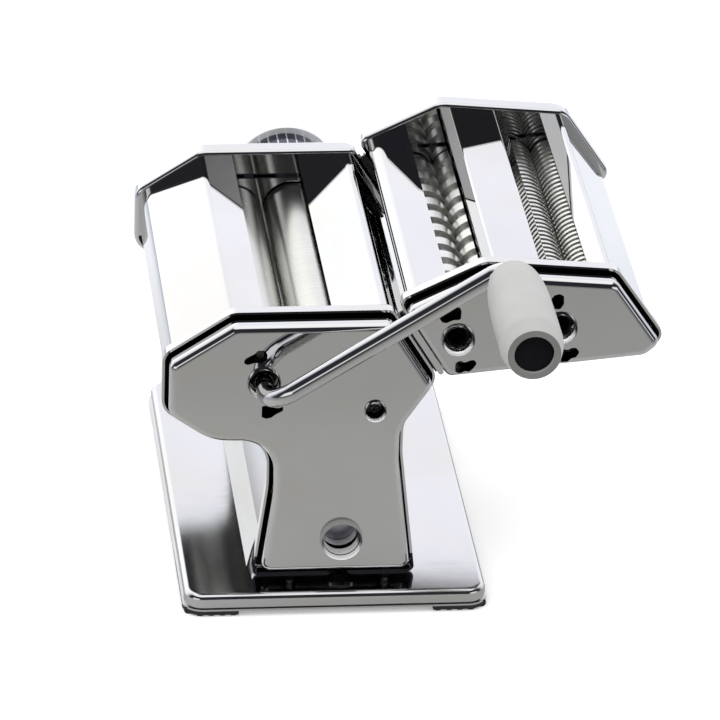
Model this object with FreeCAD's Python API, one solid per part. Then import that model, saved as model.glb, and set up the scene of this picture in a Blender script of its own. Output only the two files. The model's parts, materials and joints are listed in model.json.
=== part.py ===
import FreeCAD, Part
import math
import os

# Hand cranked pasta machine: a body with two smooth sheet rollers on a tray
# base, a hooked-on cutter unit with a wide and a fine pair of ring rollers, a
# bent rod crank with a turning grip, and a thickness regulator knob behind.
# Millimetres.  Layout axes used below: X to the right from the crank roller
# axis, Y backwards from the inner face of the front wall, Z up from the table.
# At the end every piece is shifted so that the origin is the centre of the
# whole outline (crank and knob included), on the table.

# ---------------------------------------------------------------- dimensions
SHEET_WIDTH = 150.0          # clear distance between the two walls
ORIGIN = (62.219, 35.9, 0.0) # centre of the overall box, in the layout axes

BASE_X0, BASE_X1 = -31.5, 95.0
BASE_Y0, BASE_Y1 = -24.1, 174.1
BASE_Z0, BASE_Z1 = 2.6, 9.5
BASE_SHEET = 1.0
BASE_CORNER = 8.0
BASE_EDGE = 2.5

FRAME_SHEET = 1.0
FRAME_DEPTH = 6.5
FRAME_EDGE = 1.8
COVER_INSET = 2.3
COVER_SHEET = 0.8
COVER_FACE = 15.5
COVER_OPEN = 5.0
COVER_EDGE = 3.2
COVER_BOTTOM = 15.0

ROLLER_R = 13.1
ROLLER_Z = 104.0
ROLLER_PITCH = 27.5          # rest distance between the two roller axes
ADJUST = 1.2                 # travel of the adjustable roller to either side
JOURNAL_R = 7.0
GEAR_TEETH = 11
GEAR_MODULE = (ROLLER_PITCH - ADJUST) / GEAR_TEETH
GEAR_Y0, GEAR_Y1 = -12.2, -5.4

CRANK_R = 4.0
SOCKET_Z = ROLLER_Z
ELBOW_Y = -36.2
GRIP_X, GRIP_Z, GRIP_BEND_Y = 95.5, 166.0, -37.5
GRIP_Y0, GRIP_Y1 = -46.0, -117.2

KNOB_X = ROLLER_PITCH
CAM_OFFSET = 1.6
CAM_R = 8.0

CUT_R = 9.5                  # outer radius of the cutter rings
CUT_GROOVE_R = 7.7
CUT_PITCH = 17.6
C1 = (79.4, 122.1)
C3 = (121.6, 126.6)
CUT_TILT = math.atan2(1.2, 17.6)
C2 = (C1[0] + CUT_PITCH * math.cos(CUT_TILT), C1[1] + CUT_PITCH * math.sin(CUT_TILT))
C4 = (C3[0] + CUT_PITCH * math.cos(CUT_TILT), C3[1] + CUT_PITCH * math.sin(CUT_TILT))
WIDE_RING, WIDE_PERIOD = 6.3, 13.0
FINE_RING, FINE_PERIOD = 1.8, 4.0
CUT_TEETH = 14
CUT_MODULE = CUT_PITCH / CUT_TEETH
CUT_GEAR_Y0, CUT_GEAR_Y1 = -4.8, -1.4

# side outline of the body walls: x, z, corner radius
BODY = [
    (-41.2, 113.4, 6.5), (-13.1, 131.9, 9.0), (53.436, 131.9, 4.5), (73.0, 100.5, 7.0),
    (59.3, 79.5, 12.0), (59.3, 66.0, 40.0), (66.3, 9.5, 2.6), (-2.3, 9.5, 2.6),
    (3.0, 52.0, 60.0), (2.6, 73.5, 12.0), (-22.0, 74.6, 25.0), (-41.2, 88.0, 9.0),
]
# side outline of the cutter unit walls
CUTTER = [
    (54.75, 135.85, 4.2), (90.4, 153.3, 10.0), (145.5, 148.7, 8.0), (167.0, 117.6, 5.2),
    (158.5, 110.2, 9.0), (75.76, 102.14, 4.6),
]
CUTTER_COVER = [(53.85, 135.40, 4.2)] + CUTTER[1:5] + [(74.67, 101.98, 4.6)]
# slanting joint between body and cutter unit: s runs down the body's slope,
# n runs away from it
JOINT_P = (54.0, 131.0)
JOINT_S = (0.52880, -0.84875)
JOINT_N = (0.84875, 0.52880)
JOINT_GAP = 3.2

parts = {}


# ------------------------------------------------------------------- helpers
def vec(x, y, z):
    return FreeCAD.Vector(x, y, z)


AY = vec(0, 1, 0)


def unit2(a, b):
    dx, dz = b[0] - a[0], b[1] - a[1]
    n = math.hypot(dx, dz)
    return dx / n, dz / n


def rounded(verts, y=0.0):
    """Closed wire in the plane at y from (x, z, r) corners."""
    n = len(verts)
    pts = []
    for i in range(n):
        x, z, r = verts[i]
        a, b = verts[i - 1], verts[(i + 1) % n]
        ua, ub = unit2((x, z), a), unit2((x, z), b)
        ang = math.acos(max(-1.0, min(1.0, ua[0] * ub[0] + ua[1] * ub[1])))
        if r <= 1e-6 or abs(ang - math.pi) < 1e-4:
            pts.append((None, None, (x, z), (x, z)))
            continue
        t = r / math.tan(ang / 2)
        pin = (x + ua[0] * t, z + ua[1] * t)
        pout = (x + ub[0] * t, z + ub[1] * t)
        bx, bz = ua[0] + ub[0], ua[1] + ub[1]
        bn = math.hypot(bx, bz)
        d = r / math.sin(ang / 2) - r
        mid = (x + bx / bn * d, z + bz / bn * d)
        pts.append((mid, r, pin, pout))
    edges = []
    for i in range(n):
        mid, r, pin, pout = pts[i]
        if mid:
            edges.append(Part.Arc(vec(pin[0], y, pin[1]), vec(mid[0], y, mid[1]),
                                  vec(pout[0], y, pout[1])).toShape())
        nxt = pts[(i + 1) % n][2]
        if math.hypot(nxt[0] - pout[0], nxt[1] - pout[1]) > 1e-5:
            edges.append(Part.makeLine(vec(pout[0], y, pout[1]), vec(nxt[0], y, nxt[1])))
    return Part.Wire(edges)


def prism(verts, y0, y1):
    return Part.Face(rounded(verts, y0)).extrude(vec(0, y1 - y0, 0))


def area(verts):
    s = 0.0
    for i in range(len(verts)):
        a, b = verts[i - 1], verts[i]
        s += a[0] * b[1] - b[0] * a[1]
    return s / 2


def shrink(verts, d, least=0.0):
    """Offset the closed outline inwards by d, keeping arcs concentric."""
    n = len(verts)
    sign = 1.0 if area(verts) > 0 else -1.0
    lines = []
    for i in range(n):
        a, b = verts[i], verts[(i + 1) % n]
        ux, uz = unit2(a, b)
        nx, nz = -uz * sign, ux * sign
        lines.append((a[0] + nx * d, a[1] + nz * d, ux, uz))
    out = []
    for i in range(n):
        p, q = lines[i - 1], lines[i]
        det = p[2] * q[3] - p[3] * q[2]
        r = verts[i][2]
        if abs(det) < 1e-9:
            out.append((q[0], q[1], r))
            continue
        t = ((q[0] - p[0]) * q[3] - (q[1] - p[1]) * q[2]) / det
        x, z = p[0] + p[2] * t, p[1] + p[3] * t
        convex = det * sign > 0
        nr = max(r - d, least) if convex else r + d
        out.append((x, z, nr))
    return out


def sheet(path, t, side, y0, y1):
    """Bent sheet: open path (x, z, r), thickness t to the left (+1) or right (-1)."""
    n = len(path)
    off = []
    for i in range(n):
        x, z, r = path[i]
        if i == 0 or i == n - 1:
            a, b = (path[0], path[1]) if i == 0 else (path[-2], path[-1])
            ux, uz = unit2(a, b)
            off.append((x - uz * side * t, z + ux * side * t, 0.0))
            continue
        u = unit2(path[i - 1], path[i])
        v = unit2(path[i], path[i + 1])
        nu = (-u[1] * side, u[0] * side)
        nv = (-v[1] * side, v[0] * side)
        k = t / (1 + nu[0] * nv[0] + nu[1] * nv[1])
        det = u[0] * v[1] - u[1] * v[0]
        nr = r - t if det * side > 0 else r + t
        off.append((x + (nu[0] + nv[0]) * k, z + (nu[1] + nv[1]) * k, max(nr, 0.15)))
    return prism(list(path) + off[::-1], y0, y1)


def cyl(x, z, r, y0, y1):
    return Part.makeCylinder(r, y1 - y0, vec(x, y0, z), AY)


def box(x0, x1, y0, y1, z0, z1):
    return Part.makeBox(x1 - x0, y1 - y0, z1 - z0, vec(x0, y0, z0))


def turned(x, z, prof):
    """Solid of revolution about the line through (x, z) along Y; prof = (r, y)."""
    wire = Part.makePolygon([vec(x + r, y, z) for r, y in prof] + [vec(x + prof[0][0], prof[0][1], z)])
    return Part.Face(wire).revolve(vec(x, 0, z), AY, 360)


def stadium(x, z, half, r, y0, y1):
    return fuse([box(x - half, x + half, y0, y1, z - r, z + r), cyl(x - half, z, r, y0, y1),
                 cyl(x + half, z, r, y0, y1)])


def hexa(x, z, af, y0, y1):
    c = af / math.sqrt(3)
    return prism([(x + c * math.cos(math.radians(60 * k)), z + c * math.sin(math.radians(60 * k)), 0)
                  for k in range(6)], y0, y1)


def fuse(shapes):
    out = shapes[0]
    for s in shapes[1:]:
        out = out.fuse(s)
    return out.removeSplitter()


def cut(shape, tools):
    for t in tools:
        shape = shape.cut(t)
    return shape


def rear(shape):
    """Mirror a front piece to the rear side."""
    return shape.mirror(vec(0, SHEET_WIDTH / 2, 0), AY)


def edges_at_y(shape, y):
    return [e for e in shape.Edges if all(abs(v.Point.y - y) < 1e-5 for v in e.Vertexes)]


def put(name, *shapes):
    parts[name] = list(shapes)


def dish(verts, y_face, y_open, t, r_edge):
    """Open tray-shaped pressing: face at y_face, rim running to y_open."""
    s = 1.0 if y_open > y_face else -1.0
    outer = prism(verts, y_face, y_open)
    outer = outer.makeFillet(r_edge, edges_at_y(outer, y_face))
    inner = prism(shrink(verts, t, 0.2), y_face + s * t, y_open + s)
    inner = inner.makeFillet(r_edge - t, edges_at_y(inner, y_face + s * t))
    return outer.cut(inner)


def jp(s, n):
    return (JOINT_P[0] + s * JOINT_S[0] + n * JOINT_N[0], JOINT_P[1] + s * JOINT_S[1] + n * JOINT_N[1], 0)


def jbox(s0, s1, n0, n1, y0, y1):
    return prism([jp(s0, n0), jp(s1, n0), jp(s1, n1), jp(s0, n1)], y0, y1)


def polar(c, r, deg):
    return (c[0] + r * math.cos(math.radians(deg)), c[1] + r * math.sin(math.radians(deg)))


def gear(c, module, teeth, bore, y0, y1, phase, tooth=0.42):
    """Spur gear with involute flanks; tooth is the tooth share of the pitch."""
    rp = module * teeth / 2
    rb = rp * math.cos(math.radians(20))
    ra, rf = rp + 0.95 * module, rp - 1.2 * module

    def inv(r):
        if r <= rb:
            return 0.0
        a = math.acos(rb / r)
        return math.tan(a) - a

    half = math.pi / teeth * tooth
    radii = [rf] + [rf + (ra - rf) * k / 7 for k in range(1, 8)]
    pts = []
    for k in range(teeth):
        mid = phase + 2 * math.pi * k / teeth
        left = []
        for r in radii:
            h = half + inv(rp) - inv(max(r, rb))
            left.append((r, h))
        for r, h in left:
            pts.append((c[0] + r * math.cos(mid - h), c[1] + r * math.sin(mid - h)))
        for r, h in left[::-1]:
            pts.append((c[0] + r * math.cos(mid + h), c[1] + r * math.sin(mid + h)))
    wire = Part.makePolygon([vec(x, y0, z) for x, z in pts + pts[:1]])
    g = Part.Face(wire).extrude(vec(0, y1 - y0, 0))
    return g.cut(cyl(c[0], c[1], bore, y0 - 1, y1 + 1))


def swept_rod(points, r, bends):
    """Round rod along a polyline with rounded bends."""
    pieces = []
    prev = points[0]
    for i in range(1, len(points) - 1):
        a, b, c = points[i - 1], points[i], points[i + 1]
        bend = bends[i - 1]
        u = (a.sub(b)).normalize()
        v = (c.sub(b)).normalize()
        ang = u.getAngle(v)
        t = bend / math.tan(ang / 2)
        p1 = b.add(vec(u.x * t, u.y * t, u.z * t))
        p2 = b.add(vec(v.x * t, v.y * t, v.z * t))
        w = u.add(v).normalize()
        k = bend / math.sin(ang / 2)
        mid = b.add(vec(w.x * (k - bend), w.y * (k - bend), w.z * (k - bend)))
        pieces.append(Part.makeLine(prev, p1))
        pieces.append(Part.Arc(p1, mid, p2).toShape())
        prev = p2
    pieces.append(Part.makeLine(prev, points[-1]))
    spine = Part.Wire(pieces)
    d = points[1].sub(points[0]).normalize()
    prof = Part.Wire([Part.Circle(points[0], d, r).toShape()])
    return spine.makePipeShell([prof], True, True)


# ---------------------------------------------------------------- base tray
def tray_outline(d, z):
    """Rounded plan outline shrunk by d, as a wire at height z."""
    x0, x1, y0, y1 = BASE_X0 + d, BASE_X1 - d, BASE_Y0 + d, BASE_Y1 - d
    r = BASE_CORNER - d
    e = []
    c = r * (1 - math.sqrt(0.5))

    def p(x, y):
        return vec(x, y, z)

    e.append(Part.makeLine(p(x0 + r, y0), p(x1 - r, y0)))
    e.append(Part.Arc(p(x1 - r, y0), p(x1 - c, y0 + c), p(x1, y0 + r)).toShape())
    e.append(Part.makeLine(p(x1, y0 + r), p(x1, y1 - r)))
    e.append(Part.Arc(p(x1, y1 - r), p(x1 - c, y1 - c), p(x1 - r, y1)).toShape())
    e.append(Part.makeLine(p(x1 - r, y1), p(x0 + r, y1)))
    e.append(Part.Arc(p(x0 + r, y1), p(x0 + c, y1 - c), p(x0, y1 - r)).toShape())
    e.append(Part.makeLine(p(x0, y1 - r), p(x0, y0 + r)))
    e.append(Part.Arc(p(x0, y0 + r), p(x0 + c, y0 + c), p(x0 + r, y0)).toShape())
    return Part.Wire(e)


def plan_prism(d, z0, z1):
    return Part.Face(tray_outline(d, z0)).extrude(vec(0, 0, z1 - z0))


def top_edges(shape, z):
    return [e for e in shape.Edges if all(abs(v.Point.z - z) < 1e-5 for v in e.Vertexes)]


tray = plan_prism(0, BASE_Z0, BASE_Z1)
tray = tray.makeFillet(BASE_EDGE, top_edges(tray, BASE_Z1))
hollow = plan_prism(BASE_SHEET, BASE_Z0 - 1, BASE_Z1 - BASE_SHEET)
hollow = hollow.makeFillet(BASE_EDGE - BASE_SHEET, top_edges(hollow, BASE_Z1 - BASE_SHEET))
tray = tray.cut(hollow)
lip = plan_prism(-0.8, BASE_Z0, BASE_Z0 + 0.8).cut(plan_prism(0.3, BASE_Z0 - 1, BASE_Z0 + 2))
tray = tray.fuse(lip).removeSplitter()
CLAMP = (34.5, -12.8)
SCREW_X = (14.0, 54.0)
SCREW_Y = (-4.05, SHEET_WIDTH + 4.05)
tray = tray.cut(Part.makeCylinder(5.0, 20, vec(CLAMP[0], CLAMP[1], 0)))
for sx in SCREW_X:
    for sy in SCREW_Y:
        tray = tray.cut(Part.makeCylinder(1.7, 20, vec(sx, sy, 0)))
put("base_tray", tray)

eyelet = Part.makeCylinder(5.9, 0.8, vec(CLAMP[0], CLAMP[1], BASE_Z1)).fuse(
    Part.makeCylinder(4.95, 5.5 + 0.3, vec(CLAMP[0], CLAMP[1], BASE_Z1 - 5.5)))
eyelet = eyelet.cut(Part.makeCylinder(4.25, 20, vec(CLAMP[0], CLAMP[1], 0)))
put("clamp_eyelet", eyelet.removeSplitter())

feet = []
for mx in (0, 1):
    for my in (0, 1):
        low = box(-0.5, 22.5, -0.5, 22.5, 0.75, BASE_Z0)
        corner = [e for e in low.Edges if all(abs(v.Point.x + 0.5) < 1e-6 and abs(v.Point.y + 0.5) < 1e-6
                                              for v in e.Vertexes)]
        low = low.makeFillet(8.3, corner)
        ribs = [Part.makeCylinder(2.1, 21.8 - y0, vec(2.0 + 4.6 * k, y0, 1.95), AY)
                for k, y0 in enumerate((2.6, 0.2, 0.2, 0.2, 0.2))]
        ribs = [r.common(box(-5, 40, -5, 40, 0, BASE_Z0)) for r in ribs]
        foot = fuse([low, box(4.3, 21.0, 4.3, 21.0, BASE_Z0 - 0.2, BASE_Z1 - BASE_SHEET)] + ribs)
        if mx:
            foot = foot.mirror(vec((BASE_X1 - BASE_X0) / 2, 0, 0), vec(1, 0, 0))
        if my:
            foot = foot.mirror(vec(0, (BASE_Y1 - BASE_Y0) / 2, 0), AY)
        foot.translate(vec(BASE_X0, BASE_Y0, 0))
        feet.append(foot)
put("rubber_feet", *feet)

base_screws, base_nuts = [], []
for sx in SCREW_X:
    for sy in SCREW_Y:
        z = BASE_Z1 - BASE_SHEET
        base_screws.append(Part.makeCylinder(2.9, 2.2, vec(sx, sy, z - 2.2)).fuse(
            Part.makeCylinder(1.5, 6.6, vec(sx, sy, z - 0.5))).removeSplitter())
        nut = Part.Face(Part.makePolygon([vec(sx + 2.6 * math.cos(math.radians(60 * k)),
                                              sy + 2.6 * math.sin(math.radians(60 * k)),
                                              BASE_Z1 + FRAME_SHEET) for k in range(7)])).extrude(vec(0, 0, 2.3))
        base_nuts.append(nut.cut(Part.makeCylinder(1.55, 20, vec(sx, sy, 5))))
put("base_screws", *base_screws)

# -------------------------------------------------------------- body frames
LOW_ROD = (33.95, 30.65)
UP_ROD_R = (46.3, 90.1)
UP_ROD_L = (-24.0, 92.5)
BAR = (51.5, 105.0)
STUDS = ((44.5, 101.6), (44.5, 109.4))

body_frame = dish(BODY, 0.0, -FRAME_DEPTH, FRAME_SHEET, FRAME_EDGE)
body_frame = cut(body_frame, [
    cyl(0, ROLLER_Z, 10.05, -2, 1),
    stadium(ROLLER_PITCH, ROLLER_Z, ADJUST + 0.3, JOURNAL_R + 0.4, -2, 1),
    stadium(BAR[0], BAR[1], ADJUST + 0.3, 3.3, -2, 1),
    cyl(LOW_ROD[0], LOW_ROD[1], 3.1, -2, 1),
    cyl(UP_ROD_R[0], UP_ROD_R[1], 2.6, -2, 1),
    cyl(UP_ROD_L[0], UP_ROD_L[1], 2.6, -2, 1),
    cyl(STUDS[0][0], STUDS[0][1], 1.55, -2, 1),
    cyl(STUDS[1][0], STUDS[1][1], 1.55, -2, 1),
    Part.makeCylinder(1.7, 6, vec(SCREW_X[0], SCREW_Y[0], 8)),
    Part.makeCylinder(1.7, 6, vec(SCREW_X[1], SCREW_Y[0], 8)),
])
put("front_frame", body_frame)
put("rear_frame", rear(body_frame))

# -------------------------------------------------------------- body covers
inset = shrink(BODY, COVER_INSET, 3.9)


def at_z(a, b, z):
    k = (z - a[1]) / (b[1] - a[1])
    return a[0] + (b[0] - a[0]) * k


right_x = at_z(inset[5], inset[6], COVER_BOTTOM)
left_x = at_z(inset[8], inset[7], COVER_BOTTOM)
cover_outline = inset[:6] + [(right_x, COVER_BOTTOM, 4.0), (left_x, COVER_BOTTOM, 4.0)] + inset[8:]
cover = dish(cover_outline, -COVER_FACE, -COVER_OPEN, COVER_SHEET, COVER_EDGE)
cover = cover.cut(cyl(LOW_ROD[0], LOW_ROD[1], 8.15, -20, -10))
# drawn cup in which the cover screw sits deep
screw_cover = cover.cut(cyl(UP_ROD_R[0], UP_ROD_R[1], 4.5, -20, -10)).fuse(turned(UP_ROD_R[0], UP_ROD_R[1], [
    (1.3, -9.05), (4.5, -9.05), (4.5, -15.5), (4.75, -15.5), (4.65, -16.7), (4.4, -17.2), (4.15, -17.0), (3.95, -15.9),
    (3.85, -9.75), (1.3, -9.75)])).removeSplitter()
slot_up = [(-8.5, 114.2, 0.5), (-7.8, 115.4, 0.8), (-4.2, 117.4, 2.0), (-2.9, 118.9, 1.2), (-0.2, 118.9, 1.6),
           (1.1, 117.0, 1.8), (0.9, 114.2, 1.8), (-0.9, 112.9, 1.6), (-4.1, 113.3, 2.0), (-6.9, 112.4, 0.8),
           (-8.3, 113.0, 0.5)]
slot_low = [(-0.7, 93.3, 0.5), (1.1, 93.6, 0.6), (3.2, 92.7, 2.0), (6.4, 92.3, 2.0), (8.1, 93.0, 0.3), (8.1, 91.0, 0.6),
            (5.0, 89.3, 2.0), (3.3, 87.9, 0.9), (1.1, 87.5, 0.8), (-0.7, 88.3, 0.5)]


def socket_collar(c):
    """Stepped collar rolled into a cover round a crank opening."""
    return turned(c[0], c[1], [(5.0, -12.8), (6.2, -12.8), (6.2, -14.3), (6.6, -14.9), (6.6, -15.5), (7.1, -15.5),
                               (7.0, -16.6), (6.75, -17.2), (6.45, -17.1), (6.3, -16.6), (6.2, -15.9), (5.7, -15.3),
                               (5.65, -13.6)])


front_cover = cut(screw_cover, [cyl(0, SOCKET_Z, 6.6, -20, -10), prism(slot_up, -20, -10), prism(slot_low, -20, -10)])
front_cover = front_cover.fuse(socket_collar((0, SOCKET_Z))).removeSplitter()
put("front_cover", front_cover)
rear_cover = rear(cover)
rear_cover = rear_cover.cut(cyl(KNOB_X, ROLLER_Z, 7.05, 160, 170))
arc_out = cyl(KNOB_X, ROLLER_Z, 17.7, 160, 170).cut(cyl(KNOB_X, ROLLER_Z, 14.3, 150, 180))
a0, a1 = math.radians(90 - 52), math.radians(90 + 52)
wedge = Part.Face(Part.makePolygon([
    vec(KNOB_X, 155, ROLLER_Z), vec(KNOB_X + 40 * math.cos(a0), 155, ROLLER_Z + 40 * math.sin(a0)),
    vec(KNOB_X, 155, ROLLER_Z + 60), vec(KNOB_X + 40 * math.cos(a1), 155, ROLLER_Z + 40 * math.sin(a1)),
    vec(KNOB_X, 155, ROLLER_Z)])).extrude(vec(0, 20, 0))
arc_slot = fuse([arc_out.common(wedge)] + [cyl(KNOB_X + 16 * math.cos(a), ROLLER_Z + 16 * math.sin(a), 1.7, 160, 170)
                                           for a in (a0, a1)])
rear_cover = rear_cover.cut(arc_slot)
put("rear_cover", rear_cover)

# ---------------------------------------------------------------- tie rods
def rod(p, r, r_end, reach):
    return fuse([cyl(p[0], p[1], r, 0, SHEET_WIDTH), cyl(p[0], p[1], r_end, -reach, SHEET_WIDTH + reach)])


put("lower_tie_rod", rod(LOW_ROD, 5.0, 3.0, 2.3))
put("upper_tie_rods", rod(UP_ROD_R, 4.0, 2.5, 9.0), rod(UP_ROD_L, 4.0, 2.5, 6.0))
nuts = []
for p, r, af in ((UP_ROD_R, 2.5, 8.0), (UP_ROD_L, 2.5, 8.0)):
    n = hexa(p[0], p[1], af, -4.6, -1.0).cut(cyl(p[0], p[1], r + 0.05, -6, 0))
    nuts += [n, rear(n)]
put("frame_nuts", *(nuts + base_nuts))

# round cup nut on the rod's end, seen through a stepped bush in the cover
cup = turned(LOW_ROD[0], LOW_ROD[1], [
    (3.05, -1.0), (8.0, -1.0), (8.0, -6.6), (7.8, -7.0), (7.6, -6.8), (7.35, -5.2), (7.15, -3.6), (6.9, -3.3), (3.5, -3.45),
    (0, -3.5), (0, -2.4), (3.05, -2.4)])
put("rod_end_caps", cup, rear(cup))
low_bush = turned(LOW_ROD[0], LOW_ROD[1], [
    (7.3, -11.0), (8.1, -11.0), (8.1, -15.5), (8.95, -15.5), (8.8, -16.4), (8.65, -18.1), (8.4, -18.7), (8.15, -18.5),
    (7.95, -17.2), (7.85, -15.8), (7.6, -15.4), (7.5, -13.2)])
put("rod_bushes", low_bush, rear(low_bush))


# black cross-recess screw at the bottom of its cup
screw = turned(UP_ROD_R[0], UP_ROD_R[1], [(0, -9.1), (1.2, -9.1), (1.2, -9.76), (3.7, -9.76), (3.7, -10.5), (3.1, -11.1),
                                          (0, -11.25)])
screw = screw.cut(box(UP_ROD_R[0] - 0.45, UP_ROD_R[0] + 0.45, -12, -10.4, UP_ROD_R[1] - 1.9, UP_ROD_R[1] + 1.9))
screw = screw.cut(box(UP_ROD_R[0] - 1.9, UP_ROD_R[0] + 1.9, -12, -10.4, UP_ROD_R[1] - 0.45, UP_ROD_R[1] + 0.45))
put("cover_screw", screw)

# ------------------------------------------------------------------- hoods
left_hood = sheet([(-24.5, 79.6, 0), (-30.5, 83.0, 10), (-38.0, 88.8, 8), (-38.0, 112.4, 6.5), (-12.0, 125.4, 4),
                   (2.5, 120.3, 0)], 0.8, -1, 0, SHEET_WIDTH)
right_hood = sheet([(31.2, 119.3, 0), (52.2, 128.9, 4), (70.2, 100.2, 6), (61.0, 86.4, 0)], 0.8, -1, 0, SHEET_WIDTH)
put("left_hood", left_hood)
put("right_hood", right_hood)

guard = box(2.9, 30.9, 1.5, 2.7, 102, 120).cut(cyl(0, ROLLER_Z, ROLLER_R + 0.5, 0, 5)).cut(
    cyl(ROLLER_PITCH, ROLLER_Z, ROLLER_R + ADJUST + 0.5, 0, 5))
guard = sorted(guard.Solids, key=lambda s: s.Volume)[-1]
guard = fuse([guard, box(6, 10, 0, 1.6, 118.9, 120), box(20, 24, 0, 1.6, 118.9, 120)])
put("roller_end_guards", guard, rear(guard))

chute = sheet([(-3.0, BASE_Z1, 0), (0.8, 26.0, 45), (17.0, 49.0, 45), (50.0, 62.0, 10), (58.2, 70.0, 6), (60.1, 85.9, 0)],
              0.8, 1, 0.4, SHEET_WIDTH - 0.4)
put("exit_chute", chute)

scraper_l = prism([(-7.8, 92.8, 0), (-7.0, 92.3, 0), (-12.2, 83.6, 0), (-13.0, 84.1, 0)], 0, SHEET_WIDTH)
scraper_r = prism([(35.8, 91.5, 0), (36.6, 92.0, 0), (41.0, 83.6, 0), (40.2, 83.2, 0)], 0, SHEET_WIDTH)
put("roller_scrapers", scraper_l, scraper_r)

# ------------------------------------------------------- rollers and bushes
fixed = turned(0, ROLLER_Z, [
    (0, 7.0), (0, 153.6), (JOURNAL_R, 153.6), (JOURNAL_R, 148.7), (ROLLER_R - 0.4, 148.7), (ROLLER_R, 148.3),
    (ROLLER_R, 1.7), (ROLLER_R - 0.4, 1.3), (JOURNAL_R, 1.3), (JOURNAL_R, -12.4), (4.1, -12.4),
    (4.1, 7.0)])
fixed = fixed.fuse(cyl(0, ROLLER_Z, 4.2, -1.5, 7.1).cut(box(-1.5, 1.5, -3, 5.0, ROLLER_Z - 3.6, ROLLER_Z + 3.6))).removeSplitter()
put("crank_roller", fixed)
bush = turned(0, ROLLER_Z, [(7.05, 0.9), (10.0, 0.9), (10.0, -1.0), (11.8, -1.0), (11.8, -3.4), (7.05, -3.4)])
put("roller_bushes", bush, rear(bush))
put("crank_roller_gear", gear((0, ROLLER_Z), GEAR_MODULE, GEAR_TEETH, JOURNAL_R + 0.04, GEAR_Y0, GEAR_Y1, 0.0))

moving = turned(ROLLER_PITCH, ROLLER_Z, [
    (0, 153.6), (JOURNAL_R, 153.6), (JOURNAL_R, 148.7), (ROLLER_R - 0.4, 148.7), (ROLLER_R, 148.3),
    (ROLLER_R, 1.7), (ROLLER_R - 0.4, 1.3), (JOURNAL_R, 1.3), (JOURNAL_R, -12.4), (0, -12.4)])
put("adjustable_roller", moving)
put("adjustable_roller_gear", gear((ROLLER_PITCH, ROLLER_Z), GEAR_MODULE, GEAR_TEETH, JOURNAL_R + 0.04,
                                   GEAR_Y0, GEAR_Y1, 0.0))

# carrier of the adjustable roller: two bearing plates joined by a bar
plate_outline = [(17.6, 84.8, 2), (38.4, 84.8, 2), (38.4, 98.5, 2), (57.0, 98.5, 2), (57.0, 113.0, 3), (38.4, 114.2, 3),
                 (17.6, 114.2, 3)]
plate = prism(plate_outline, -3.6, -1.6)
plate = cut(plate, [cyl(ROLLER_PITCH, ROLLER_Z, JOURNAL_R + 0.06, -5, 0), cyl(BAR[0], BAR[1], 3.03, -5, 0),
                    stadium(STUDS[0][0], STUDS[0][1], ADJUST + 0.25, 2.06, -5, 0),
                    stadium(STUDS[1][0], STUDS[1][1], ADJUST + 0.25, 2.06, -5, 0)])
rear_plate = rear(plate).cut(cyl(ROLLER_PITCH, 87.8, 1.53, 150, 156))
put("carrier_plates", plate, rear_plate)
put("carrier_bars", cyl(BAR[0], BAR[1], 3.0, -3.6, 159.2), cyl(ROLLER_PITCH, 87.8, 1.5, 151.6, 159.2))
studs = []
for sx, sz in STUDS:
    s = fuse([cyl(sx, sz, 1.5, -1.3, 0.0), cyl(sx, sz, 2.0, -3.9, -1.0), cyl(sx, sz, 3.2, -4.9, -3.8)])
    studs += [s, rear(s)]
put("carrier_studs", *studs)

# cam window fixed to the carrier, moved sideways by the eccentric spindle
win = prism([(15.6, 84.8, 2), (39.4, 84.8, 2), (39.4, 98.5, 2), (57.0, 98.5, 2), (57.0, 112.0, 3), (41.5, 118.4, 3),
             (15.6, 118.4, 3)], 156.8, 159.2)
win = win.cut(box(ROLLER_PITCH - CAM_R - 0.1, ROLLER_PITCH + CAM_R + 0.1, 150, 165, 96.2, 114.4))
win = win.cut(cyl(BAR[0], BAR[1], 3.03, 150, 165)).cut(cyl(ROLLER_PITCH, 87.8, 1.53, 150, 165))
put("cam_window", win)

spindle = fuse([cyl(KNOB_X, ROLLER_Z + CAM_OFFSET, CAM_R, 156.9, 159.1), cyl(KNOB_X, ROLLER_Z, 4.0, 156.9, 182.2)])
flat = cyl(KNOB_X, ROLLER_Z, 6, 168.0, 184).cut(box(KNOB_X - 3.2, KNOB_X + 3.2, 160, 190, 90, 120))
spindle = spindle.cut(flat)
spindle = spindle.fuse(cyl(KNOB_X, ROLLER_Z, 1.8, 182.0, 184.4)).removeSplitter()
put("cam_spindle", spindle)
put("knob_bush", turned(KNOB_X, ROLLER_Z, [(4.06, 160.4), (7.0, 160.4), (7.0, 163.0), (10.0, 163.0), (10.0, 164.7),
                                           (7.0, 164.7), (7.0, 166.4), (4.06, 166.4)]))

# ------------------------------------------------------------ regulator knob
hub = cyl(KNOB_X, ROLLER_Z, 7.5, 167.2, 174.2)
web = cyl(KNOB_X, ROLLER_Z, 18.8, 172.0, 174.2)
drum = cyl(KNOB_X, ROLLER_Z, 19.6, 167.2, 186.0).cut(cyl(KNOB_X, ROLLER_Z, 17.8, 160, 190))
knob = fuse([hub, web, drum])
dbore = cyl(KNOB_X, ROLLER_Z, 4.06, 160, 190).common(box(KNOB_X - 3.26, KNOB_X + 3.26, 160, 190, 90, 120))
knob = knob.cut(dbore).cut(cyl(KNOB_X, ROLLER_Z, 4.06, 160, 168.1))
knob = knob.fuse(cyl(KNOB_X, ROLLER_Z + 16, 1.5, 164.0, 172.5)).removeSplitter()
put("regulator_knob", knob)
put("knob_cap", turned(KNOB_X, ROLLER_Z, [
    (17.0, 186.0), (22.3, 186.0), (22.6, 186.3), (22.6, 187.3), (22.2, 188.1), (21.2, 188.5), (14, 188.8), (0, 189.0),
    (0, 187.5), (17.0, 187.2)]))
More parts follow.
